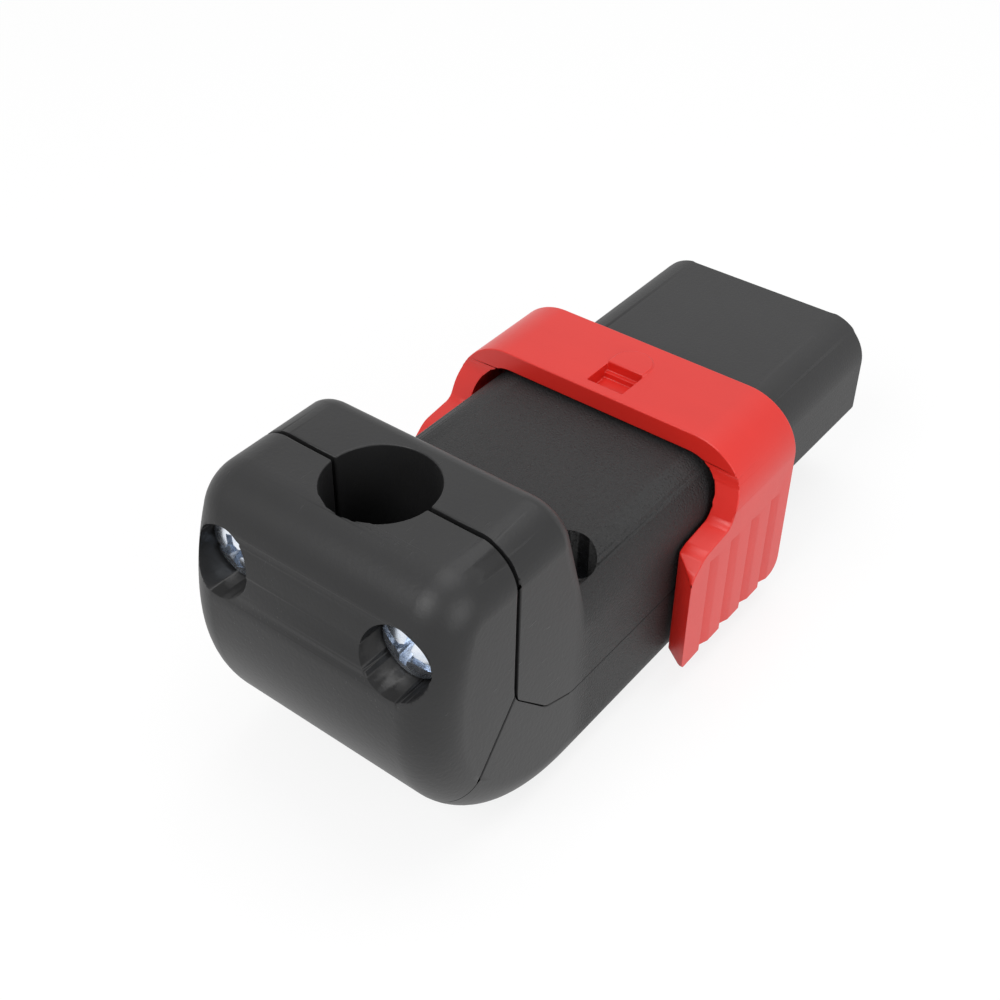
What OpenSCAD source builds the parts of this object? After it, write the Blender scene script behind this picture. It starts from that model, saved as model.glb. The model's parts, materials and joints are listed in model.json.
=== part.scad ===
// Right-angle rewireable appliance connector with a sliding release lock.
// X is the width, +Y points out of the nose, +Z is the side where the cable leaves.
// Every piece is drawn with Y measured from the rear face, then moved by place()
// so that the origin is under the middle of the whole connector.

/* [Housing] */
// Width of the housing
body_w = 25.8; // [25:0.1:27]
// Height of the flat deck behind the slider
deck_h = 19.4; // [18.5:0.1:20.5]
// Height of the cable block at the rear
block_h = 29.65; // [28:0.05:31]
// Length of the housing, from its rear face to the shoulder behind the nose
body_l = 47.2; // [46:0.1:47.2]
// Thickness of the housing walls
wall = 2; // [1.6:0.1:2.2]
// Radius along the side edges of the cable block and the underside
edge_r = 3.7; // [2.5:0.1:4]
// Radius along the side edges of the deck
deck_r = 4.5; // [3.5:0.1:5]
// Radius of the sweep from the underside up to the rear face
sweep_r = 17.3; // [15:0.1:17.6]
// Radius of the rear face above the sweep
rear_r = 26; // [24:0.5:40]
// Radius between the rear face and the top of the block
crown_r = 4.5; // [4:0.1:5]
// Lean of the block's front face, as length per unit of height
front_lean = 0.29; // [0.1:0.01:0.35]

/* [Cable entry] */
// Distance of the cable hole, and of the joint through it, from the rear face
cable_y = 9.87; // [9.5:0.01:10.2]
// Radius of the cable hole
cable_r = 4.65; // [4:0.05:4.8]
// Gap left between the clamping faces of the rear cover and the upper housing
clamp_gap = 0.4; // [0.2:0.05:0.6]

/* [Nose] */
// Width of the nose
nose_w = 24; // [23.6:0.1:24.2]
// Height of the nose
nose_h = 16.4; // [16:0.1:16.6]
// Height of the nose's underside
nose_z = 1.7; // [1.5:0.1:1.9]
// Distance from the rear face to the end of the nose
nose_end = 69; // [68:0.1:70]
// Radius of the nose's two upper edges
nose_r = 4.3; // [3:0.1:5]
// Size of the nose's two lower chamfers
nose_chamfer = 6.5; // [6:0.1:7]
// Distance between the line and the neutral slot
pole_pitch = 14; // [13.8:0.1:14.2]
// Offset of the earth slot below the other two
earth_drop = 4; // [3.8:0.1:4.2]

/* [Slider] */
// Width over the grip plates
slider_w = 31.06; // [30.6:0.02:31.4]
// Height of the slider's top
slider_top = 21.7; // [21.5:0.05:22]
// Front edge of the slider
slider_front = 48.05; // [47.9:0.05:48.2]
// Rear edge of the band over the deck
band_rear = 38.67; // [38:0.01:39.5]
// Rear edge of the grip plates, on their outer faces
grip_rear = 31; // [30.5:0.05:32]
// How much further forward their rear edge lies on the inner faces
grip_slant = 1.5; // [0:0.1:2]
// Lower edge of the grip plates
grip_z = 2.75; // [2.4:0.05:3.5]
// How far the slider is pulled back to release the lock
release_travel = 3.2; // [2:0.1:3.2]

/* [Screws] */
// Distance of the screws from the middle
screw_x = 8.6; // [8.4:0.05:9]
// Height of the two cover screws
cover_screw_z = 23.3; // [23:0.05:24]
// Depth of the cover screws' heads behind the rear face
cover_head_y = 2.2; // [1.8:0.05:3]
// Distance of the housing screws from the rear face
deck_screw_y = 21.8; // [21.5:0.1:22.5]

/* [Hidden] */
$fn = 48;
eps = 0.01;
big = 100;

black = [0.10, 0.10, 0.105];
nose_black = [0.13, 0.13, 0.135];
red = [0.84, 0.16, 0.12];
zinc = [0.78, 0.81, 0.85];
brass = [0.80, 0.64, 0.30];
bronze = [0.80, 0.52, 0.30];
steel = [0.66, 0.67, 0.69];

half_w = body_w / 2;
joint_gap = 0.06;

// Rear face: the sweep is a quarter circle, the face above it a shallower arc,
// and the crown an arc that meets that one and the flat top without a corner.
crown_turn = asin((block_h - crown_r - sweep_r) / (rear_r - crown_r));
crown_c = [rear_r - (rear_r - crown_r) * cos(crown_turn), block_h - crown_r];
crown_way = [-cos(crown_turn), sin(crown_turn)];

// Front face of the block: a leaning line through this upper corner
front_top_y = 16.35;
front_turn = atan(front_lean);
front_r = 1.9;
foot_z = deck_h - deck_r;
front_foot_y = front_top_y + front_lean * (block_h - foot_z);
front_normal = [cos(front_turn), sin(front_turn)];
front_c = [
  (front_normal * [front_top_y, block_h] - front_r - front_normal.y * (block_h - front_r))
  / front_normal.x,
  block_h - front_r];

// Joints between the three housing shells, seen from the side
joint_peak = [9.75, 15.4];
joint_slope = 1.26;
seam_z = 9.55;
seam_step_y = 17.4;

// Room inside the housing
room_x = half_w - wall;
room_top = deck_h - wall;
room_front = 44.6;
cable_room_x = 7.4;

// Insert that carries the contacts
insert_rear = 31;
insert_x = room_x - 0.3;
insert_z0 = wall + 0.15;
insert_z1 = room_top - 0.25;
rib_y0 = 42;
rib_y1 = 43.6;
rib_z0 = 4.6;
rib_z1 = seam_z - 0.2;
rib_out = 0.9;
pole_z = nose_z + nose_h / 2 + 2;
slot_w = 2.6;
slot_h = 5;
cell_w = 4;
cell_h = 6.4;
front_skin = 1.6;

// Slots, sockets and terminals of the three poles: [x, z of the centre]
LINE = [-pole_pitch / 2, pole_z];
NEUTRAL = [pole_pitch / 2, pole_z];
EARTH = [0, pole_z - earth_drop];
POLES = [LINE, NEUTRAL, EARTH];
terminal_w = 5;
terminal_l = 7;
terminal_h = 6;
terminal_y = 32.4;
terminal_screw_y = terminal_y + terminal_l / 2;
socket_w = 3.2;
socket_h = 5.6;
socket_rear = 52;
blade_t = 0.8;

// Guide grooves in the sides of the housing and the rails that run in them
rail_z0 = 10.4;
rail_z1 = 12.8;
rail_depth = 1.1;
rail_rear = 40;
rail_front = body_l - 0.05;
groove_rear = rail_rear - release_travel - 0.4;

// Lug under the slider, its way through the roof, and the spring behind it
lug_x = 1.3;
lug_y0 = 43;
lug_y1 = 45.2;
lug_z = 13.6;
lug_way_y0 = lug_y0 - release_travel - 0.4;
lug_way_y1 = lug_y1 + 0.15;
spring_box_x = 2.7;
spring_box_z = 14.1;
spring_y0 = 35.6;
spring_z = 16;
spring_r = 1.05;
spring_bore_r = 1.45;
spring_wire_r = 0.17;
spring_turns = 8;

// Slider
slider_inner_x = half_w + 0.31;
slider_inner_z = deck_h + 0.4;
slider_inner_r = 3.55;
slider_outer_r = 5.45;
grip_z1 = 16.4;
grip_grooves = 4;
grip_groove_w = 1.5;
grip_groove_pitch = 3.5;
grip_groove_y = 34;
grip_groove_depth = 0.5;
grip_groove_top = 13.4;
window_x = 1.9;
window_y0 = 39.85;
window_y1 = 43.15;
window_depth = 1.35;
window_ledge = 0.45;
ledge_depth = 0.8;
tab_end = 46.25;
tab_rise = 0.2;

// Screws
cover_bore_r = 2.95;
cover_head_r = 2.72;
cover_head_h = 2.1;
cover_shank_r = 1.45;
cover_thread_l = 11;
deck_screw_x = 8.7;
deck_bore_r = 2.6;
deck_head_r = 2.4;
deck_head_h = 2;
deck_seat_z = 11.6;
deck_shank_r = 1.45;
tower_r = 3.9;
hole_play = 0.2;

// ---- Profiles --------------------------------------------------------------

function unit(v) = v / norm(v);

// Points of an arc that rounds the corner at p, between the points a and b
function corner(a, p, b, r, steps) =
  let (u = unit(a - p), v = unit(b - p), half = acos(u * v) / 2,
       c = p + unit(u + v) * r / sin(half),
       s = p + u * r / tan(half) - c, e = p + v * r / tan(half) - c,
       turn = (atan2(e.y, e.x) - atan2(s.y, s.x) + 540) % 360 - 180,
       start = atan2(s.y, s.x))
  [for (i = [0:steps]) c + r * [cos(start + turn * i / steps), sin(start + turn * i / steps)]];

// Outline through [x, y, r] points, each corner rounded with its own radius
function rounded(points, steps = 6) =
  [for (i = [0:len(points) - 1])
    let (n = len(points), p = points[i], a = points[(i + n - 1) % n], b = points[(i + 1) % n])
    each (p[2] > 0
      ? corner([a.x, a.y], [p.x, p.y], [b.x, b.y], p[2], steps)
      : [[p.x, p.y]])];

// What lies outside a circle, between two directions from its centre
module outside_arc(c, r, from, to) {
  reach = 3 * r;
  translate(c) difference() {
    polygon([[0, 0], for (t = [0:0.25:1]) reach * [cos(from + (to - from) * t),
                                                   sin(from + (to - from) * t)]]);
    circle(r, $fn = 96);
  }
}

// Rectangle centred on X and standing on Y = 0, with its own radius above and below
module section(w, h, r_top, r_bottom) {
  difference() {
    translate([-w / 2, 0]) square([w, h]);
    for (side = [-1, 1]) mirror([side < 0 ? 1 : 0, 0]) {
      if (r_top > 0) outside_arc([w / 2 - r_top, h - r_top], r_top, 0, 90);
      if (r_bottom > 0) outside_arc([w / 2 - r_bottom, r_bottom], r_bottom, -90, 0);
    }
  }
}

module along_x(w) rotate([90, 0, 90]) translate([0, 0, -w / 2]) linear_extrude(w) children();
module along_y(y0, y1) translate([0, y1, 0]) rotate([90, 0, 0]) linear_extrude(y1 - y0) children();
module box(x0, x1, y0, y1, z0, z1) translate([x0, y0, z0]) cube([x1 - x0, y1 - y0, z1 - z0]);
module pin_y(r, y0, y1) translate([0, y0, 0]) rotate([-90, 0, 0]) cylinder(r = r, h = y1 - y0);
module place() translate([0, -nose_end / 2, 0]) children();
module both_sides() for (side = [-1, 1]) mirror([side < 0 ? 1 : 0, 0, 0]) children();

// Disc whose rim is rounded, lying with its axis along X: a swept side edge
module wheel(c, r) {
  translate([0, c.x, c.y]) rotate([0, 90, 0]) rotate_extrude($fn = 128) difference() {
    translate([0, -half_w]) square([r, body_w]);
    outside_arc([r - edge_r, half_w - edge_r], edge_r, 0, 90);
    outside_arc([r - edge_r, edge_r - half_w], edge_r, -90, 0);
  }
}

// ---- Housing ---------------------------------------------------------------

// Side view of the block's front: flat top, leaning face, foot inside the deck
module front_profile() {
  difference() {
    polygon([[crown_c.x, sweep_r], [crown_c.x, block_h], [front_top_y, block_h],
             [front_foot_y, foot_z], [sweep_r, foot_z], [sweep_r, sweep_r]]);
    outside_arc(front_c, front_r, front_turn, 90);
  }
}

// What the rounded rim of the leaning face takes off one upper corner and side edge
module front_rim_cut() {
  turn_z = front_r - edge_r - front_r * (1 - sin(front_turn)) / cos(front_turn);
  intersection() {
    translate([half_w - edge_r, front_top_y, block_h]) rotate([front_turn, 0, 0]) {
      translate([0, 0, turn_z]) {
        intersection() {
          rotate([-90, 0, 0]) rotate_extrude($fn = 96)
            outside_arc([edge_r - front_r, -front_r], front_r, 0, 90);
          box(0, big, -big, big, 0, big);
        }
        translate([edge_r - front_r, -front_r, -big]) linear_extrude(big)
          outside_arc([0, 0], front_r, 0, 90);
      }
    }
    box(0, big, front_c.x, big, 0, big);
  }
}

// The block's straight part, between the crown and the leaning face
module block_front() {
  difference() {
    intersection() {
      along_y(crown_c.x, front_foot_y) section(body_w, block_h, edge_r, 0);
      along_x(big) front_profile();
    }
    both_sides() front_rim_cut();
  }
}

// Outer form of the three shells together
module housing_form() {
  // Quarter circle from the underside up to the rear face
  intersection() {
    wheel([sweep_r, sweep_r], sweep_r);
    box(-big, big, -1, sweep_r, -1, sweep_r);
  }
  // Rear face
  intersection() {
    wheel([rear_r, sweep_r], rear_r);
    along_x(big) polygon([[-big, sweep_r], [sweep_r, sweep_r], crown_c,
                          crown_c + big * crown_way]);
  }
  // Crown between the rear face and the top
  intersection() {
    wheel(crown_c, crown_r);
    along_x(big) polygon([crown_c, crown_c + big * crown_way, crown_c + [0, big]]);
  }
  block_front();
  along_y(sweep_r, body_l) section(body_w, deck_h, deck_r, edge_r);
}

// Side views of what belongs to each shell
module cover_region() {
  y1 = cable_y - clamp_gap / 2;
  polygon([[-1, block_h + 1], [y1, block_h + 1], [y1, joint_peak.y + 1], joint_peak,
           joint_peak - 14 * [1, joint_slope] / joint_slope, [-14, 0]]);
}

module upper_region() {
  y0 = cable_y + clamp_gap / 2;
  polygon(rounded([
    [y0, block_h + 1, 0], [y0, joint_peak.y - 0.6, 0.8], [13.9, seam_z + 1.3, 2.5],
    [seam_step_y, seam_z, 1.5], [body_l + 1, seam_z, 0], [body_l + 1, block_h + 1, 0]]));
}

module lower_region() {
  drop = joint_gap + 0.02;
  polygon(rounded([
    [-14, -1, 0],
    concat(joint_peak + [drop, 0] - 16 * [1, joint_slope] / joint_slope, 0),
    [joint_peak.x + drop, joint_peak.y - 0.1, 0],
    [cable_y + clamp_gap / 2 - 0.05, joint_peak.y - 0.7, 0.8], [13.85, seam_z + 1.2, 2.5],
    [seam_step_y - 0.05, seam_z - joint_gap, 1.5], [body_l + 1, seam_z - joint_gap, 0],
    [body_l + 1, -1, 0]]));
}

// Room for the insert, the terminals and the bend of the cable
module housing_room() {
  box(-room_x, room_x, sweep_r, room_front, wall, room_top);
  intersection() {
    translate([0, sweep_r, sweep_r]) rotate([0, 90, 0])
      cylinder(r = sweep_r - wall, h = 2 * cable_room_x, center = true, $fn = 96);
    box(-big, big, 0, sweep_r + eps, wall, room_top);
  }
  box(-insert_x - 0.3, insert_x + 0.3, room_front - eps, body_l + 1, wall, room_top);
  both_sides() box(room_x - eps, room_x + rib_out + 0.1, rib_y0 - 0.1, rib_y1 + 0.1,
                   rib_z0 - 0.1, rib_z1 + 0.1);
}

module cable_hole() {
  translate([0, cable_y, room_top - 1]) cylinder(r = cable_r, h = block_h, $fn = 96);
}

module rear_cover() {
  color(black) difference() {
    intersection() {
      housing_form();
      along_x(big) cover_region();
    }
    housing_room();
    cable_hole();
    for (side = [-1, 1]) translate([side * screw_x, 0, cover_screw_z]) {
      pin_y(cover_bore_r, -2, cover_head_y + cover_head_h);
      pin_y(cover_shank_r + hole_play, 0, cable_y);
    }
  }
}

module upper_housing() {
  color(black) difference() {
    union() {
      difference() {
        intersection() {
          housing_form();
          along_x(big) upper_region();
        }
        housing_room();
      }
      // Towers round the housing screws
      intersection() {
        for (side = [-1, 1]) translate([side * deck_screw_x, deck_screw_y, seam_z])
          cylinder(r = tower_r, h = deck_h);
        along_y(sweep_r, body_l)
          section(body_w - wall, deck_h - wall / 2, deck_r - wall / 2, 0);
      }
      // Box that guides the lug and holds its spring
      box(-spring_box_x, spring_box_x, spring_y0 - 1.2, lug_way_y1 + 1, spring_box_z,
          room_top + eps);
    }
    cable_hole();
    for (side = [-1, 1]) {
      translate([side * screw_x, 0, cover_screw_z])
        pin_y(cover_shank_r + 0.02, 0, cover_head_y + cover_head_h + cover_thread_l + 0.6);
      translate([side * deck_screw_x, deck_screw_y, 0]) {
        translate([0, 0, deck_seat_z]) cylinder(r = deck_bore_r, h = big);
        cylinder(r = deck_shank_r + hole_play, h = big);
      }
    }
    box(-lug_x - 0.15, lug_x + 0.15, lug_way_y0, lug_way_y1, 0, big);
    translate([0, 0, spring_z]) pin_y(spring_bore_r, spring_y0, lug_way_y0 + 1);
    both_sides() box(half_w - rail_depth - 0.15, big, groove_rear, big,
                     rail_z0 - 0.15, rail_z1 + 0.15);
  }
}

module lower_housing() {
  color(black) difference() {
    union() {
      difference() {
        intersection() {
          housing_form();
          along_x(big) lower_region();
        }
        housing_room();
      }
      for (side = [-1, 1]) translate([side * deck_screw_x, deck_screw_y, wall - eps])
        cylinder(r = tower_r - 0.6, h = seam_z - joint_gap - wall);
    }
    for (side = [-1, 1]) translate([side * deck_screw_x, deck_screw_y, wall - 1])
      cylinder(r = deck_shank_r + 0.02, h = big);
  }
}

// ---- Nose and insert -------------------------------------------------------

module nose_section() {
  top = nose_z + nose_h;
  difference() {
    polygon([[-nose_w / 2, top], [nose_w / 2, top], [nose_w / 2, nose_z + nose_chamfer],
             [nose_w / 2 - nose_chamfer, nose_z], [nose_chamfer - nose_w / 2, nose_z],
             [-nose_w / 2, nose_z + nose_chamfer]]);
    for (side = [0, 1]) mirror([side, 0])
      outside_arc([nose_w / 2 - nose_r, top - nose_r], nose_r, 0, 90);
  }
}

module front_insert() {
  color(nose_black) difference() {
    union() {
      along_y(body_l + 0.1, nose_end) nose_section();
      box(-insert_x, insert_x, insert_rear, body_l + 0.1 + eps, insert_z0, insert_z1);
      both_sides() box(insert_x - eps, room_x + rib_out, rib_y0, rib_y1, rib_z0, rib_z1);
    }
    for (pole = POLES) translate([pole.x, 0, pole.y]) {
      // Slot in the nose with its lead-in, cell for the socket, bay for the terminal
      box(-slot_w / 2, slot_w / 2, 60, nose_end + 1, -slot_h / 2, slot_h / 2);
      box(-cell_w / 2, cell_w / 2, insert_rear - 1, nose_end - front_skin,
          -cell_h / 2, cell_h / 2);
      box(-terminal_w / 2 - 0.1, terminal_w / 2 + 0.1, insert_rear - 1,
          terminal_y + terminal_l + 0.2, -terminal_h / 2 - 0.1, big);
    }
    // Way for the lug, its box and the lock clip, above the earth cell
    box(-spring_box_x - 0.2, spring_box_x + 0.2, insert_rear - 1, lug_way_y1 + 1.2,
        EARTH.y, big);
    box(-cell_w / 2, cell_w / 2, lug_way_y1, 60, EARTH.y, lug_z);
    box(-cell_w / 2 - 0.7, cell_w / 2 + 0.7, 56.4, 60, EARTH.y - 4.2, lug_z);
  }
}

// ---- Contacts --------------------------------------------------------------

// Female socket: a folded tube with a split, pinched in front of its middle
module socket(pole, front) {
  color(bronze) translate([pole.x, 0, pole.y]) difference() {
    union() {
      box(-socket_w / 2, socket_w / 2, socket_rear, front, -socket_h / 2, socket_h / 2);
      box(-blade_t / 2, blade_t / 2, terminal_y + terminal_l, socket_rear + eps, -2, 2);
    }
    box(-1.05, 1.05, socket_rear + 1, front + 1, -2.15, 2.15);
    box(-0.3, 0.3, socket_rear + 3, front + 1, 0, socket_h);
    for (side = [-1, 1]) translate([side * socket_w / 2, front - 3.4, 0])
      cylinder(r = 0.35, h = 2 * socket_h, center = true);
  }
}

// Pillar terminal: wire hole along Y, clamping screw from above
module terminal(pole) {
  color(brass) translate([pole.x, 0, pole.y]) difference() {
    box(-terminal_w / 2, terminal_w / 2, terminal_y, terminal_y + terminal_l - 0.02,
        -terminal_h / 2, terminal_h / 2);
    pin_y(1.5, terminal_y - 1, terminal_y + terminal_l - 1.2);
    translate([0, terminal_screw_y, 0]) cylinder(r = 1.27, h = big);
  }
}

module terminal_screw(pole) {
  color(zinc) translate([pole.x, terminal_screw_y, pole.y]) difference() {
    union() {
      translate([0, 0, 1.2]) cylinder(r = 1.25, h = 2.6);
      translate([0, 0, terminal_h / 2 + 0.3]) cylinder(r = 1.7, h = 1.2);
    }
    box(-big, big, -0.2, 0.2, terminal_h / 2 + 0.9, big);
  }
}

// Sprung strip: a plate with a window leans on the earth socket, its tail meets the lug
module earth_lock_clip() {
  thick = 0.4;
  arm_z = 12.6;
  tail_y = lug_y0 - 0.15 - thick;
  plate_y = 58.4;
  color(steel) difference() {
    union() {
      box(-1.5, 1.5, tail_y, plate_y + 0.2, arm_z, arm_z + thick);
      box(-1.1, 1.1, tail_y, tail_y + thick, arm_z, arm_z + 1.4);
      translate([0, plate_y, arm_z + thick]) rotate([-12, 0, 0])
        box(-2.4, 2.4, 0, thick, -8.4, 0);
    }
    box(-socket_w / 2 - 0.15, socket_w / 2 + 0.15, 54, 62,
        EARTH.y - socket_h / 2 - 0.15, EARTH.y + socket_h / 2 + 0.15);
  }
}

// ---- Slider ----------------------------------------------------------------

// Grip plate with the bow that leads up into the band, seen from the side
module slider_profile() {
  polygon(rounded([
    [band_rear, slider_top + 1, 0], [band_rear, grip_z1 + 2.4, 3],
    [36.9, grip_z1 - 1.2, 1.1], [33, grip_z1 - 1.7, 2.4], [grip_rear, grip_z1 - 3.4, 2.2],
    [grip_rear, grip_z, 0.5], [slider_front, grip_z, 1.6], [slider_front, slider_top + 1, 0]]));
}

module slider_section() {
  difference() {
    translate([0, grip_z - 1]) section(slider_w, slider_top - grip_z + 1, slider_outer_r, 0);
    translate([0, grip_z - 2])
      section(2 * slider_inner_x, slider_inner_z - grip_z + 2, slider_inner_r, 0);
  }
}

// Groove that is deepest at its rear edge and runs out towards the front
module grip_groove(y) {
  x1 = slider_w / 2;
  translate([0, 0, grip_z - 1]) linear_extrude(grip_groove_top - grip_z + 1)
    polygon([[x1 - grip_groove_depth, y], [x1 + 0.2, y],
             [x1 + 0.2, y + grip_groove_w * (1 + 0.2 / grip_groove_depth)]]);
}

// Slants the rear of a grip plate, so that its outer edge lies furthest back
module grip_rear_cut() {
  x0 = slider_inner_x;
  x1 = slider_w / 2;
  slope = grip_slant / (x1 - x0);
  translate([0, 0, grip_z - 1]) linear_extrude(grip_z1 - grip_z)
    polygon([[x0 - 1, 0], [x0 - 1, grip_rear + grip_slant + slope],
             [x1 + 0.5, grip_rear - 0.5 * slope], [x1 + 0.5, 0]]);
}

module lock_slider() {
  color(red) difference() {
    union() {
      intersection() {
        along_y(grip_rear - 1, slider_front) slider_section();
        along_x(big) slider_profile();
      }
      // Tab with a round end in front of the window
      intersection() {
        box(-window_x, window_x, window_y1, tab_end, slider_top - 1, slider_top + tab_rise);
        translate([0, tab_end - window_x, 0]) union() {
          cylinder(r = window_x, h = big);
          box(-window_x, window_x, -big, 0, 0, big);
        }
      }
      // Lug that works the lock clip, and rails that run in the housing's grooves
      box(-lug_x, lug_x, lug_y0, lug_y1, lug_z, slider_inner_z + 0.5);
      both_sides() box(half_w - rail_depth, slider_inner_x + 0.5, rail_rear, rail_front,
                       rail_z0, rail_z1);
    }
    // Window with a ledge at its front
    box(-window_x, window_x, window_y0, window_y1, slider_top - ledge_depth, big);
    box(-window_x, window_x, window_y0, window_y1 - window_ledge,
        slider_top - window_depth, big);
    both_sides() {
      grip_rear_cut();
      for (i = [0:grip_grooves - 1]) grip_groove(grip_groove_y + i * grip_groove_pitch);
    }
  }
}

// ---- Screws and spring -----------------------------------------------------

// Pan head with a cross and slot recess; the head's top is at the origin, facing -Y
module pan_screw(head_r, head_h, shank_r, thread_l) {
  dome = 0.7;
  dome_r = (head_r * head_r + dome * dome) / (2 * dome);
  difference() {
    union() {
      pin_y(head_r, dome, head_h);
      rotate([-90, 0, 0]) rotate_extrude() intersection() {
        translate([0, dome_r]) circle(dome_r, $fn = 128);
        square([head_r, dome + eps]);
      }
      pin_y(shank_r, head_h - eps, head_h + thread_l);
    }
    box(-head_r, head_r, -1, 0.9, -0.35, 0.35);
    box(-0.35, 0.35, -1, 1.5, -1.5, 1.5);
    pin_y(0.75, -1, 1.7);
  }
}

module cover_screw(side) {
  color(zinc) translate([side * screw_x, cover_head_y, cover_screw_z])
    rotate([0, side * 18, 0])
      pan_screw(cover_head_r, cover_head_h, cover_shank_r, cover_thread_l);
}

module housing_screw(side) {
  color(zinc) translate([side * deck_screw_x, deck_screw_y, deck_seat_z + deck_head_h])
    rotate([-90, 0, 0])
      pan_screw(deck_head_r, deck_head_h, deck_shank_r, deck_seat_z - wall + 0.6);
}

// Round wire wound round the Y axis, its ends lying flat against lug and box
module slider_spring() {
  steps = 10;
  sides = 6;
  length = lug_y0 - 0.05 - spring_y0 - 2 * spring_wire_r - 0.05;
  rings = spring_turns * steps;
  points = [for (i = [0:rings], k = [0:sides - 1])
    let (a = 360 * i / steps, s = 360 * k / sides,
         r = spring_r + spring_wire_r * cos(s))
    [r * cos(a), spring_y0 + 0.05 + spring_wire_r + length * i / rings + spring_wire_r * sin(s),
     spring_z + r * sin(a)]];
  faces = [
    [for (k = [0:sides - 1]) k],
    for (i = [0:rings - 1], k = [0:sides - 1])
      let (n = (k + 1) % sides)
      [i * sides + k, (i + 1) * sides + k, (i + 1) * sides + n, i * sides + n],
    [for (k = [sides - 1:-1:0]) rings * sides + k]];
  color(steel) polyhedron(points, faces);
}

place() rear_cover();
place() upper_housing();
place() lower_housing();
place() front_insert();
place() lock_slider();
place() cover_screw(-1);  // cover_screw_left
place() cover_screw(1);  // cover_screw_right
place() housing_screw(-1);  // housing_screw_left
place() housing_screw(1);  // housing_screw_right
place() socket(LINE, 66.4);  // line_socket
place() socket(NEUTRAL, 66.4);  // neutral_socket
place() socket(EARTH, 67.1);  // earth_socket
place() terminal(LINE);  // line_terminal
place() terminal(NEUTRAL);  // neutral_terminal
place() terminal(EARTH);  // earth_terminal
place() terminal_screw(LINE);  // line_terminal_screw
place() terminal_screw(NEUTRAL);  // neutral_terminal_screw
place() terminal_screw(EARTH);  // earth_terminal_screw
place() earth_lock_clip();
place() slider_spring();
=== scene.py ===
import json
import math

import bmesh
import bpy
from mathutils import Matrix, Vector


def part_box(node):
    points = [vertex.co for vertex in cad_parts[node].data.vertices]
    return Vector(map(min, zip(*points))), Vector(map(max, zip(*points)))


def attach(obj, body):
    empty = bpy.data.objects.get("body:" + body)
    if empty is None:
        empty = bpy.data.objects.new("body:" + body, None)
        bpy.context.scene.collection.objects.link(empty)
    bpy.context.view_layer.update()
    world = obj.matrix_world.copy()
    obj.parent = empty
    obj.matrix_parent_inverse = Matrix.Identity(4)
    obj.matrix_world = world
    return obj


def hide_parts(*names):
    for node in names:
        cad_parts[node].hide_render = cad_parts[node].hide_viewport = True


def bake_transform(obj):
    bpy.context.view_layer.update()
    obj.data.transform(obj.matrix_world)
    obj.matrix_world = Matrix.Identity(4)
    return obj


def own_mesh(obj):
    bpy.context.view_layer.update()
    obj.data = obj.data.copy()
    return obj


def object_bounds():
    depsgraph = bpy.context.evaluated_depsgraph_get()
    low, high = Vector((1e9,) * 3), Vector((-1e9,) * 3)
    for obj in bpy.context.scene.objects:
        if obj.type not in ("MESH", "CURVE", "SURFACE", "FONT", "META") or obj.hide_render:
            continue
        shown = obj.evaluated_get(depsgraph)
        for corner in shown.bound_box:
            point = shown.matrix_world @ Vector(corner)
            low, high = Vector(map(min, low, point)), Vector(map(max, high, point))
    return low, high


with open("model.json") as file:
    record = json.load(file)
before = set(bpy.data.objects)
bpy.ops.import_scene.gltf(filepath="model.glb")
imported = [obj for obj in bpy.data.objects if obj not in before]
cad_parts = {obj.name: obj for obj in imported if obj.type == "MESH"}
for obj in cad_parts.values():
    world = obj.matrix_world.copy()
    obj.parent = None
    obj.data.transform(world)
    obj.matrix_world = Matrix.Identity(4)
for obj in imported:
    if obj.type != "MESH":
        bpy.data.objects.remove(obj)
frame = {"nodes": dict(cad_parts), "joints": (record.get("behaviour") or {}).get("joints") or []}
lowStart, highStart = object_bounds()
nodes = frame["nodes"]
mm = 0.001


# A socket wrapped so that shader and tree maths can be written as plain expressions
class Wire:
    def __init__(self, maker, socket):
        self.maker = maker
        self.socket = socket

    def join(self, kind, first, second):
        return self.maker.wire("ShaderNodeMath", {"operation": kind}, {0: first, 1: second})

    def __add__(self, other):
        return self.join("ADD", self, other)

    def __radd__(self, other):
        return self.join("ADD", other, self)

    def __sub__(self, other):
        return self.join("SUBTRACT", self, other)

    def __rsub__(self, other):
        return self.join("SUBTRACT", other, self)

    def __mul__(self, other):
        return self.join("MULTIPLY", self, other)

    def atLeast(self, other):
        return self.join("MAXIMUM", self, other)

    def atMost(self, other):
        return self.join("MINIMUM", self, other)

    # 0 below the first value, 1 above the second, eased between them
    def rise(self, low, high):
        return self.maker.wire("ShaderNodeMapRange", {"interpolation_type": "SMOOTHSTEP"},
                               {"Value": self, "From Min": low, "From Max": high})


# Makes the nodes of one tree
class Maker:
    def __init__(self, tree):
        self.tree = tree

    def add(self, kind, settings=None, values=None):
        node = self.tree.nodes.new(kind)
        for key, value in (settings or {}).items():
            setattr(node, key, value)
        for key, value in (values or {}).items():
            for item in value if isinstance(value, list) else [value]:
                if isinstance(item, Wire):
                    self.tree.links.new(item.socket, node.inputs[key])
                else:
                    node.inputs[key].default_value = item
        return node

    def wire(self, kind, settings=None, values=None, output=0):
        return Wire(self, self.add(kind, settings, values).outputs[output])

    def blend(self, factor, first, second):
        return self.wire("ShaderNodeMix", {"data_type": "RGBA"}, {0: factor, 6: first, 7: second}, 2)

    def noise(self, at, scale, detail=2.0, rough=0.5):
        return self.wire("ShaderNodeTexNoise", None,
                         {"Vector": at, "Scale": scale, "Detail": detail, "Roughness": rough})

    def stretched(self, at, factors):
        return self.wire("ShaderNodeVectorMath", {"operation": "MULTIPLY"}, {0: at, 1: factors})

    def bump(self, look, height):
        return self.wire("ShaderNodeBump", None,
                         {"Strength": look["bumpStrength"], "Distance": look["bumpDistance"],
                          "Height": height})


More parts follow.
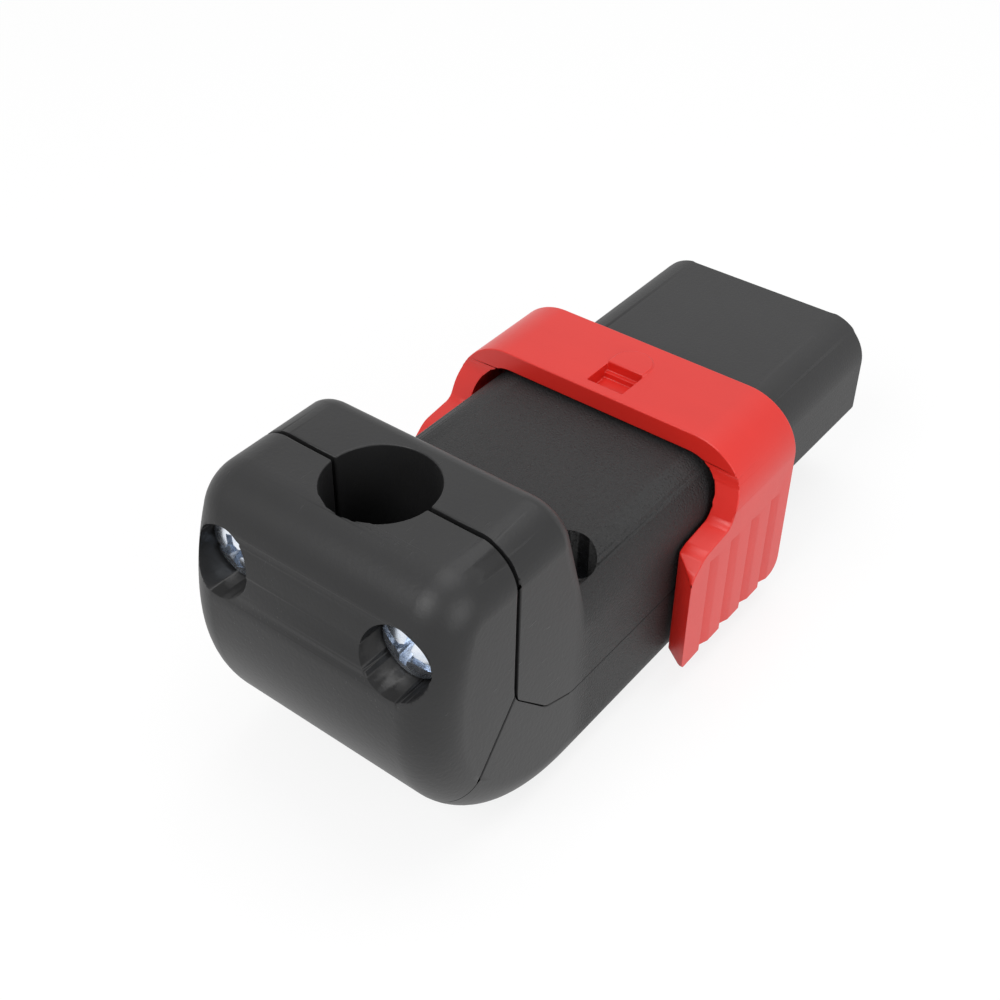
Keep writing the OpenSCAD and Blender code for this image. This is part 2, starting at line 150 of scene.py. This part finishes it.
def newMaterial(name, viewColour):
    material = bpy.data.materials.new(name)
    material.use_nodes = True
    material.diffuse_color = (*viewColour, 1)
    material.node_tree.nodes.clear()
    return material, Maker(material.node_tree)


# Ends a material: what changes over the surface comes in as wires, the rest as plain numbers
def closeMaterial(maker, values):
    surface = maker.wire("ShaderNodeBsdfPrincipled", None, values)
    maker.add("ShaderNodeOutputMaterial", None, {"Surface": surface})


def objectPlace(maker):
    return maker.wire("ShaderNodeTexCoord", None, None, "Object")


# Black glass-filled plastic: satin on the cable block, spark-eroded on the deck and body sides
housingLook = {
    "dark": (0.0100, 0.0100, 0.0104, 1),
    "pale": (0.0240, 0.0240, 0.0246, 1),
    "grainFrom": -0.0170,
    "grainTo": -0.0140,
    "grainScale": 5200,
    "pitScale": 3400,
    "satinScale": 2600,
    "cloudScale": 180,
    "scratchScale": 5200,
    "scratchStretch": (1, 0.08, 0.5),
    "rough": 0.40,
    "bumpStrength": 0.9,
    "bumpDistance": 0.00012,
}


def housingMaterial():
    look = housingLook
    material, maker = newMaterial("housingPlastic", (0.02, 0.02, 0.021))
    at = objectPlace(maker)
    along = maker.wire("ShaderNodeSeparateXYZ", None, {0: at}, "Y")
    grained = along.rise(look["grainFrom"], look["grainTo"])
    grain = maker.noise(at, look["grainScale"], 3, 0.62)
    pits = maker.wire("ShaderNodeTexVoronoi", None, {"Vector": at, "Scale": look["pitScale"]})
    satin = maker.noise(at, look["satinScale"])
    cloud = maker.noise(at, look["cloudScale"], 3)
    fine = maker.noise(maker.stretched(at, look["scratchStretch"]), look["scratchScale"])
    scratch = fine.rise(0.665, 0.72) * cloud.rise(0.48, 0.62)
    height = (grained * (grain * 0.8 + pits.rise(0.1, 0.5) * 0.35)
              + (1 - grained) * satin * 0.16 + scratch * 0.12)
    speck = grained * grain.rise(0.52, 0.74)
    colour = maker.blend((cloud * 0.5 + speck * 0.75 + scratch * 0.3).atMost(1.0),
                         look["dark"], look["pale"])
    rough = look["rough"] + grained * 0.12 + cloud * 0.06 - scratch * 0.05
    bump = maker.bump(look, height)
    closeMaterial(maker, {"Base Color": colour, "Roughness": rough, "Normal": bump,
                          "IOR": 1.45, "Specular IOR Level": 0.4})
    return material


# The nose and its carrier: the same plastic family, a shade lighter and evenly matt
noseLook = {
    "dark": (0.0120, 0.0120, 0.0124, 1),
    "pale": (0.0250, 0.0250, 0.0256, 1),
    "grainScale": 4600,
    "cloudScale": 150,
    "drawnScale": 2400,
    "drawnStretch": (1, 0.05, 1),
    "rough": 0.48,
    "bumpStrength": 0.7,
    "bumpDistance": 0.00008,
}


def noseMaterial():
    look = noseLook
    material, maker = newMaterial("nosePlastic", (0.03, 0.03, 0.032))
    at = objectPlace(maker)
    grain = maker.noise(at, look["grainScale"], 3, 0.6)
    cloud = maker.noise(at, look["cloudScale"], 3)
    drawn = maker.noise(maker.stretched(at, look["drawnStretch"]), look["drawnScale"])
    colour = maker.blend(grain * 0.45 + cloud * 0.4, look["dark"], look["pale"])
    bump = maker.bump(look, grain * 0.6 + drawn * 0.25)
    closeMaterial(maker, {"Base Color": colour, "Roughness": look["rough"] + grain * 0.08,
                          "Normal": bump, "IOR": 1.45, "Specular IOR Level": 0.42})
    return material


# Saturated red of the release slider, glossier than the housing
sliderLook = {
    "deep": (0.54, 0.012, 0.007, 1),
    "bright": (0.64, 0.020, 0.012, 1),
    "cloudScale": 120,
    "skinScale": 3200,
    "flowScale": 500,
    "flowStretch": (0.25, 1, 0.25),
    "rough": 0.34,
    "bumpStrength": 0.3,
    "bumpDistance": 0.00003,
}


def sliderMaterial():
    look = sliderLook
    material, maker = newMaterial("sliderPlastic", (0.7, 0.05, 0.035))
    at = objectPlace(maker)
    cloud = maker.noise(at, look["cloudScale"], 3)
    skin = maker.noise(at, look["skinScale"], 3, 0.55)
    flow = maker.noise(maker.stretched(at, look["flowStretch"]), look["flowScale"])
    colour = maker.blend(cloud * 0.7 + flow * 0.3, look["deep"], look["bright"])
    bump = maker.bump(look, skin * 0.7 + flow * 0.3)
    closeMaterial(maker, {"Base Color": colour, "Roughness": look["rough"] + skin * 0.07,
                          "Normal": bump, "IOR": 1.5})
    return material


# Metals: base colours, roughness range and the direction in which they were drawn or rolled
metalLooks = {
    "zincPlate": {"dark": (0.58, 0.66, 0.78, 1), "pale": (0.90, 0.93, 0.97, 1),
                  "rough": 0.20, "spread": 0.14, "drawn": (1, 1, 1), "bumpStrength": 0.25},
    "turnedBrass": {"dark": (0.55, 0.36, 0.12, 1), "pale": (0.84, 0.64, 0.27, 1),
                    "rough": 0.24, "spread": 0.14, "drawn": (1, 0.06, 1), "bumpStrength": 0.3},
    "contactBronze": {"dark": (0.52, 0.27, 0.12, 1), "pale": (0.80, 0.47, 0.25, 1),
                      "rough": 0.27, "spread": 0.12, "drawn": (1, 0.05, 1),
                      "bumpStrength": 0.25},
    "springSteel": {"dark": (0.38, 0.39, 0.41, 1), "pale": (0.68, 0.69, 0.71, 1),
                    "rough": 0.22, "spread": 0.12, "drawn": (1, 0.2, 1), "bumpStrength": 0.2},
}
metalScales = {"cloudScale": 900, "grainScale": 7000, "bumpDistance": 0.00003}


def metalMaterial(name):
    look = {**metalScales, **metalLooks[name]}
    material, maker = newMaterial(name, look["pale"][:3])
    at = objectPlace(maker)
    cloud = maker.noise(at, look["cloudScale"], 3, 0.6)
    grain = maker.noise(maker.stretched(at, look["drawn"]), look["grainScale"], 3)
    colour = maker.blend(cloud.rise(0.3, 0.7) * 0.6 + grain * 0.4, look["dark"], look["pale"])
    bump = maker.bump(look, grain + cloud * 0.5)
    closeMaterial(maker, {"Base Color": colour, "Metallic": 1.0,
                          "Roughness": look["rough"] + cloud * look["spread"], "Normal": bump})
    return material


housingPlastic = housingMaterial()
nosePlastic = noseMaterial()
sliderPlastic = sliderMaterial()
zincPlate = metalMaterial("zincPlate")
turnedBrass = metalMaterial("turnedBrass")
contactBronze = metalMaterial("contactBronze")
springSteel = metalMaterial("springSteel")
print("materials ready")


def addObject(name, data):
    piece = bpy.data.objects.new(name, data)
    bpy.context.scene.collection.objects.link(piece)
    return piece


# Replaces a piece's mesh by the result of its modifiers
def solve(piece):
    bpy.context.view_layer.update()
    solved = piece.evaluated_get(bpy.context.evaluated_depsgraph_get())
    mesh = bpy.data.meshes.new_from_object(solved)
    piece.modifiers.clear()
    piece.data = mesh
    return mesh


# Angle in degrees above which an edge stays sharp to the eye
smoothAngle = 34


# Turns a piece with modifiers into a plain mesh, smooth apart from its sharp edges
def settle(piece):
    mesh = solve(piece)
    mesh.shade_smooth()
    mesh.set_sharp_from_angle(angle=math.radians(smoothAngle))
    weighted = piece.modifiers.new("flatFaces", "WEIGHTED_NORMAL")
    weighted.keep_sharp = True
    solve(piece).name = piece.name
    return piece


# Dresses a piece, fixes it to its body and hides the nodes that it stands for
def place(piece, body, material, slot, *replaced):
    if not piece.data.materials:
        piece.data.materials.append(material)
    for index in range(len(piece.data.materials)):
        piece.data.materials[index] = material
    if body:
        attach(piece, body)
    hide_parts(*replaced)
    return piece


# Lengths in metres, angles in degrees; the broad factor is in bevel widths
copyLimits = {"merge": 0.000002, "sliver": 0.000005, "flat": 0.4, "sharp": 32, "broad": 1.2}


# A face too narrow for the bevel would turn it inside out
def isBroad(face, width):
    return face.calc_area() / max(side.calc_length() for side in face.edges) > width


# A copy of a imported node, merged, its flat faces joined and its corners eased
def easedCopy(name, node, edge, segments=2):
    piece = addObject(name, nodes[node].data.copy())
    form = bmesh.new()
    form.from_mesh(piece.data)
    bmesh.ops.remove_doubles(form, verts=form.verts, dist=copyLimits["merge"])
    bmesh.ops.dissolve_degenerate(form, dist=copyLimits["sliver"], edges=form.edges)
    bmesh.ops.dissolve_limit(form, angle_limit=math.radians(copyLimits["flat"]),
                             verts=form.verts, edges=form.edges)
    weight = form.edges.layers.float.new("bevel_weight_edge")
    for side in form.edges:
        cornered = side.is_manifold and side.calc_face_angle() > math.radians(copyLimits["sharp"])
        if cornered and all(isBroad(face, edge * copyLimits["broad"]) for face in side.link_faces):
            side[weight] = 1.0
    form.to_mesh(piece.data)
    form.free()
    bevel = piece.modifiers.new("edges", "BEVEL")
    bevel.width = edge
    bevel.segments = segments
    bevel.limit_method = "WEIGHT"
    bevel.use_clamp_overlap = False
    settle(piece)
    # No vertex leaves the box of the node
    low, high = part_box(node)
    for vertex in piece.data.vertices:
        vertex.co = [min(max(value, least), most)
                     for value, least, most in zip(vertex.co, low, high)]
    return piece


# The three housing shells, the nose and the slider; edges in millimetres
shellEdges = {
    "coverShell": {"node": "rear_cover", "edge": 0.16},
    "upperShell": {"node": "upper_housing", "edge": 0.16},
    "lowerShell": {"node": "lower_housing", "edge": 0.12},
}
noseEdge = {"edge": 0.25, "segments": 3}
sliderEdge = {"edge": 0.12, "segments": 2}

for name, look in shellEdges.items():
    place(easedCopy(name, look["node"], look["edge"] * mm), "housing", housingPlastic,
          "housing_black", look["node"])
place(easedCopy("contactNose", "front_insert", noseEdge["edge"] * mm, noseEdge["segments"]),
      "housing", nosePlastic, "nose_black", "front_insert")
place(easedCopy("releaseSlider", "lock_slider", sliderEdge["edge"] * mm, sliderEdge["segments"]),
      "slider", sliderPlastic, "slider_red", "lock_slider")
print("shells, nose and slider ready")

# Contacts of each pole: sockets, pillar terminals and their clamping screws
contacts = {
    "Socket": {"node": "_socket", "edge": 0.08, "material": contactBronze,
               "slot": "bronze_socket"},
    "Terminal": {"node": "_terminal", "edge": 0.15, "material": turnedBrass,
                 "slot": "brass_terminal"},
    "TerminalScrew": {"node": "_terminal_screw", "edge": 0.08, "material": zincPlate,
                      "slot": "zinc_screw"},
}

for pole in ("line", "neutral", "earth"):
    for ending, look in contacts.items():
        place(easedCopy(pole + ending, pole + look["node"], look["edge"] * mm), "housing",
              look["material"], look["slot"], pole + look["node"])

# The strip that locks the earth pin, fixed to no body
clipEdge = 0.06
clip = easedCopy("earthLockStrip", "earth_lock_clip", clipEdge * mm)
clip.data.materials.clear()
place(clip, None, springSteel, "spring_steel", "earth_lock_clip")
print("contacts ready")


# Geometry tree with named inputs; returns the tree and a wire for each input
def newTree(name, inputs):
    tree = bpy.data.node_groups.new(name, "GeometryNodeTree")
    tree.interface.new_socket("Geometry", in_out="INPUT", socket_type="NodeSocketGeometry")
    for label, kind in inputs.items():
        tree.interface.new_socket(label, in_out="INPUT", socket_type="NodeSocket" + kind)
    tree.interface.new_socket("Geometry", in_out="OUTPUT", socket_type="NodeSocketGeometry")
    maker = Maker(tree)
    start = maker.add("NodeGroupInput")
    return tree, maker, {socket.name: Wire(maker, socket) for socket in start.outputs if socket.name}


# Ends a tree: the material is set and the result is real mesh
def closeTree(maker, geometry, material):
    real = maker.wire("GeometryNodeRealizeInstances", None, {"Geometry": geometry})
    dressed = maker.wire("GeometryNodeSetMaterial", None, {"Geometry": real, "Material": material})
    maker.add("NodeGroupOutput", None, {0: dressed})


def runTree(piece, tree, values):
    modifier = piece.modifiers.new(tree.name, "NODES")
    modifier.node_group = tree
    for item in tree.interface.items_tree:
        if item.in_out == "INPUT" and item.name in values:
            modifier[item.identifier] = values[item.name]
    return settle(piece)


# Shape of both kinds of screw; lengths in millimetres, cone and slot as parts of the recess
screwShape = {
    "slotReach": 2.2, "coneSides": 24, "coneTip": 0.45, "coneMouth": 1.15, "coneDepth": 1.15,
    "coneLift": 0.01, "threadSteps": 24, "threadSides": 4, "threadGap": 0.3,
}


# Pair of pan head screws, each with a cross and a slot in its head and a thread on its core
def screwTree():
    shape = screwShape
    tree, maker, given = newTree("screwSet", {
        "Slot Width": "Float", "Slot Depth": "Float", "Cross Length": "Float",
        "Cross Depth": "Float", "Head Radius": "Float", "Head Height": "Float",
        "Core Radius": "Float", "Thread Depth": "Float", "Thread Length": "Float",
        "Thread Turns": "Float", "Spacing": "Float", "Turn": "Float", "Tilt": "Float",
        "Place": "Vector", "Material": "Material"})

    def cutter(length, depth, turned):
        size = maker.wire("ShaderNodeCombineXYZ", None,
                          {0: length, 1: given["Slot Width"], 2: depth * 2})
        cube = maker.wire("GeometryNodeMeshCube", None, {"Size": size})
        if not turned:
            return cube
        return maker.wire("GeometryNodeTransform", None,
                          {"Geometry": cube, "Rotation": (0, 0, math.pi / 2)})

    cone = maker.wire("GeometryNodeMeshCone", None,
                      {"Vertices": shape["coneSides"],
                       "Radius Top": given["Slot Width"] * shape["coneTip"],
                       "Radius Bottom": given["Slot Width"] * shape["coneMouth"],
                       "Depth": given["Cross Depth"] * shape["coneDepth"]})
    upright = maker.wire("GeometryNodeTransform", None,
                         {"Geometry": cone, "Rotation": (math.pi, 0, 0)})
    lift = maker.wire("ShaderNodeCombineXYZ", None, {2: given["Cross Depth"] * shape["coneLift"]})
    centre = maker.wire("GeometryNodeTransform", None,
                        {"Geometry": upright, "Translation": lift})
    head = given["Geometry"]
    slotLength = given["Head Radius"] * shape["slotReach"]
    for part in (cutter(slotLength, given["Slot Depth"], False),
                 cutter(given["Cross Length"], given["Cross Depth"], True),
                 cutter(given["Cross Length"], given["Cross Depth"], False), centre):
        head = maker.wire("GeometryNodeMeshBoolean", {"operation": "DIFFERENCE", "solver": "EXACT"},
                          {"Mesh 1": head, "Mesh 2": part})
    path = maker.wire("GeometryNodeCurveSpiral", None,
                      {"Resolution": shape["threadSteps"], "Rotations": given["Thread Turns"],
                       "Start Radius": given["Core Radius"], "End Radius": given["Core Radius"],
                       "Height": given["Thread Length"]})
    ridge = maker.wire("GeometryNodeCurvePrimitiveCircle", None,
                       {"Resolution": shape["threadSides"], "Radius": given["Thread Depth"]})
    thread = maker.wire("GeometryNodeCurveToMesh", None,
                        {"Curve": path, "Profile Curve": ridge, "Fill Caps": True})
    reach = (given["Head Height"] + given["Thread Length"]) * -1
    below = maker.wire("ShaderNodeCombineXYZ", None, {2: reach - shape["threadGap"] * mm})
    thread = maker.wire("GeometryNodeTransform", None, {"Geometry": thread, "Translation": below})
    whole = maker.wire("GeometryNodeJoinGeometry", None, {"Geometry": [head, thread]})
    first = maker.wire("ShaderNodeCombineXYZ", None, {0: given["Spacing"] * -0.5})
    step = maker.wire("ShaderNodeCombineXYZ", None, {0: given["Spacing"]})
    line = maker.wire("GeometryNodeMeshLine", None,
                      {"Count": 2, "Start Location": first, "Offset": step})
    side = maker.wire("GeometryNodeInputIndex") * 2 - 1
    spin = maker.wire("ShaderNodeCombineXYZ", None, {2: side * given["Turn"]})
    pair = maker.wire("GeometryNodeInstanceOnPoints", None,
                      {"Points": line, "Instance": whole, "Rotation": spin})
    tilt = maker.wire("ShaderNodeCombineXYZ", None, {0: given["Tilt"]})
    pair = maker.wire("GeometryNodeTransform", None,
                      {"Geometry": pair, "Rotation": tilt, "Translation": given["Place"]})
    closeTree(maker, pair, given["Material"])
    return tree


# Lengths in millimetres, the tip's radius as part of the core's
blankShape = {"domeSteps": 8, "rimSteps": 4, "footEase": 0.08, "tipLength": 0.5,
              "tipRadius": 0.55, "sides": 56, "merge": 0.000001}


# Turned blank of a screw: domed head with a rounded rim, and the core that carries the thread
# Its axis is Z and the top of its head is at the origin
def screwBlank(name, look, length):
    shape = blankShape
    dome = look["dome"]
    radius = look["headRadius"]
    rim = look["rim"]
    core = look["core"]
    foot = -look["headHeight"]
    ease = shape["footEase"]
    sphere = (radius * radius + dome * dome) / (2 * dome)
    profile = []
    for step in range(shape["domeSteps"] + 1):
        out = (radius - rim) * step / shape["domeSteps"]
        profile.append((out, math.sqrt(sphere * sphere - out * out) - sphere))
    rimTop = profile[-1][1]
    for step in range(1, shape["rimSteps"] + 1):
        angle = math.radians(90 - 90 / shape["rimSteps"] * step)
        profile.append((radius - rim + rim * math.cos(angle), rimTop - rim + rim * math.sin(angle)))
    profile += [(radius, foot + ease), (radius - ease, foot), (core, foot),
                (core, shape["tipLength"] - length), (core * shape["tipRadius"], -length),
                (0, -length)]
    form = bmesh.new()
    points = [form.verts.new((out * mm, 0, up * mm)) for out, up in profile]
    edges = [form.edges.new(pair) for pair in zip(points, points[1:])]
    bmesh.ops.spin(form, geom=points + edges, cent=(0, 0, 0), axis=(0, 0, 1),
                   angle=math.tau, steps=shape["sides"], use_merge=True)
    bmesh.ops.remove_doubles(form, verts=form.verts, dist=shape["merge"])
    bmesh.ops.recalc_face_normals(form, faces=form.faces)
    mesh = bpy.data.meshes.new(name)
    form.to_mesh(mesh)
    form.free()
    return addObject(name, mesh)


# What both kinds have in common comes first; lengths in millimetres, turns in degrees
screwCommon = {
    "dome": 0.7, "rim": 0.25, "core": 1.14, "threadDepth": 0.29, "pitch": 1.0, "slotWidth": 0.7,
    "slotDepth": 0.9, "crossLength": 3.0, "crossDepth": 1.5, "plainEnd": 1.0, "clearance": 0.02,
}
screwLooks = {
    "coverScrews": {"nodes": ("cover_screw_left", "cover_screw_right"), "axis": 1,
                    "headRadius": 2.70, "headHeight": 2.1, "turn": -18, **screwCommon},
    "housingScrews": {"nodes": ("housing_screw_left", "housing_screw_right"), "axis": 2,
                      "headRadius": 2.58, "headHeight": 2.0, "turn": 0, **screwCommon},
}
screws = screwTree()

for name, look in screwLooks.items():
    boxes = [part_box(node) for node in look["nodes"]]
    axis = look["axis"]
    centres = [(low + high) / 2 for low, high in boxes]
    middle = (centres[0] + centres[1]) / 2
    low, high = boxes[0]
    length = (high[axis] - low[axis]) / mm - look["clearance"]
    middle[axis] = low[axis] if axis == 1 else high[axis]
    threadLength = length - look["headHeight"] - look["plainEnd"]
    piece = runTree(screwBlank(name, look, length), screws, {
        "Slot Width": look["slotWidth"] * mm, "Slot Depth": look["slotDepth"] * mm,
        "Cross Length": look["crossLength"] * mm, "Cross Depth": look["crossDepth"] * mm,
        "Head Radius": look["headRadius"] * mm, "Head Height": look["headHeight"] * mm,
        "Core Radius": look["core"] * mm, "Thread Depth": look["threadDepth"] * mm,
        "Thread Length": threadLength * mm, "Thread Turns": threadLength / look["pitch"],
        "Spacing": abs(centres[1].x - centres[0].x), "Turn": math.radians(look["turn"]),
        "Tilt": math.pi / 2 if axis == 1 else 0.0, "Place": middle[:], "Material": zincPlate})
    place(piece, "housing", zincPlate, "zinc_screw", *look["nodes"])
print("screws ready")


# Return spring behind the slider's lug
springLook = {"turns": 8.0, "wire": 0.17, "radius": 1.05, "sides": 10, "steps": 32}


def springTree():
    tree, maker, given = newTree("coilSpring", {
        "Turns": "Float", "Radius": "Float", "Wire Radius": "Float", "Length": "Float",
        "Place": "Vector", "Material": "Material"})
    path = maker.wire("GeometryNodeCurveSpiral", None,
                      {"Resolution": springLook["steps"], "Rotations": given["Turns"],
                       "Start Radius": given["Radius"], "End Radius": given["Radius"],
                       "Height": given["Length"]})
    ring = maker.wire("GeometryNodeCurvePrimitiveCircle", None,
                      {"Resolution": springLook["sides"], "Radius": given["Wire Radius"]})
    coil = maker.wire("GeometryNodeCurveToMesh", None,
                      {"Curve": path, "Profile Curve": ring, "Fill Caps": True})
    laid = maker.wire("GeometryNodeTransform", None,
                      {"Geometry": coil, "Rotation": (-math.pi / 2, 0, 0),
                       "Translation": given["Place"]})
    closeTree(maker, laid, given["Material"])
    return tree


springLow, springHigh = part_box("slider_spring")
springMiddle = (springLow + springHigh) / 2
springStart = springLow.y + springLook["wire"] * mm
springLength = springHigh.y - springLow.y - 2 * springLook["wire"] * mm
spring = addObject("returnSpring", bpy.data.meshes.new("returnSpring"))
runTree(spring, springTree(), {
    "Turns": springLook["turns"], "Radius": springLook["radius"] * mm,
    "Wire Radius": springLook["wire"] * mm, "Length": springLength,
    "Place": (springMiddle.x, springStart, springMiddle.z), "Material": springSteel})
place(spring, "housing", springSteel, "spring_steel", "slider_spring")
release = next(joint for joint in frame["joints"] if joint["name"] == "slider_release")
travel = max(abs(limit) for limit in release["range_m"])
1 - travel / (springHigh.y - springLow.y)
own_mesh(spring)
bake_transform(clip)
print("spring and lock strip ready")


# Floor, white surroundings and soft lamps
studio = {
    "worldFill": 0.5,
    "floorReach": 1.5,
    "floorGap": 0.00005,
    "aim": (0, -0.006, 0.012),
    "floorTone": (0.92, 0.92, 0.92, 1),
    "floorGlow": 0.82,
    "lamps": {
        "keySoftbox": {"at": (-0.02, -0.30, 0.30), "size": 0.20, "power": 0.75},
        "topSoftbox": {"at": (0.02, 0.10, 0.46), "size": 0.34, "power": 0.9},
        "rightSoftbox": {"at": (0.36, -0.06, 0.14), "size": 0.24, "power": 0.5},
    },
}


# 1 for rays that come from the camera, straight or by way of gloss or glass
def seenDirectly(maker):
    path = maker.add("ShaderNodeLightPath")
    rays = [Wire(maker, path.outputs[name]) for name in
            ("Is Camera Ray", "Is Glossy Ray", "Is Transmission Ray")]
    return rays[0].atLeast(rays[1]).atLeast(rays[2])


world = bpy.data.worlds.new("studioWorld")
bpy.context.scene.world = world
world.use_nodes = True
world.node_tree.nodes.clear()
maker = Maker(world.node_tree)
level = studio["worldFill"] + seenDirectly(maker) * (1 - studio["worldFill"])
sky = maker.wire("ShaderNodeBackground", None, {"Color": (1, 1, 1, 1), "Strength": level})
maker.add("ShaderNodeOutputWorld", None, {"Surface": sky})

form = bmesh.new()
bmesh.ops.create_grid(form, x_segments=2, y_segments=2, size=studio["floorReach"])
floorMesh = bpy.data.meshes.new("studioFloor")
form.to_mesh(floorMesh)
form.free()
floor = addObject("studioFloor", floorMesh)
floor.location.z = lowStart.z - studio["floorGap"]
floorPaper, maker = newMaterial("floorPaper", (0.9, 0.9, 0.9))
matt = maker.wire("ShaderNodeBsdfDiffuse", None, {"Color": studio["floorTone"]})
glow = maker.wire("ShaderNodeEmission", None, {"Color": (1, 1, 1, 1), "Strength": 1.0})
mixed = maker.wire("ShaderNodeMixShader", None,
                   {0: seenDirectly(maker) * studio["floorGlow"], 1: matt, 2: glow})
maker.add("ShaderNodeOutputMaterial", None, {"Surface": mixed})
floorMesh.materials.append(floorPaper)

for name, lamp in studio["lamps"].items():
    light = bpy.data.lights.new(name, "AREA")
    light.shape = "SQUARE"
    light.size = lamp["size"]
    light.energy = lamp["power"]
    holder = addObject(name, light)
    holder.location = lamp["at"]
    sight = Vector(studio["aim"]) - Vector(lamp["at"])
    holder.rotation_euler = sight.to_track_quat("-Z", "Y").to_euler()

# Camera: above and behind the cable block, turned towards the right-hand side
view = {
    "at": (0.058178, -0.087328, 0.098704),
    "azimuth": 38.767, "elevation": 38.509, "roll": -0.2295,
    "lens": 53.52, "sensor": 36, "shift": (0.03683, -0.03024), "clipStart": 0.005,
}
azimuth, elevation, roll = (math.radians(view[key]) for key in ("azimuth", "elevation", "roll"))
back = Vector((math.sin(azimuth) * math.cos(elevation), -math.cos(azimuth) * math.cos(elevation),
               math.sin(elevation)))
right = Vector((math.cos(azimuth), math.sin(azimuth), 0))
up = back.cross(right)
turnedRight = right * math.cos(roll) + up * math.sin(roll)
turnedUp = up * math.cos(roll) - right * math.sin(roll)
cameraData = bpy.data.cameras.new("partCamera")
cameraData.sensor_width = view["sensor"]
cameraData.lens = view["lens"]
cameraData.shift_x, cameraData.shift_y = view["shift"]
cameraData.clip_start = view["clipStart"]
camera = addObject("partCamera", cameraData)
camera.matrix_world = Matrix.Translation(view["at"]) @ Matrix(
    (turnedRight, turnedUp, back)).transposed().to_4x4()
bpy.context.scene.camera = camera
bpy.context.scene.view_settings.view_transform = "Standard"
print("studio and camera ready")
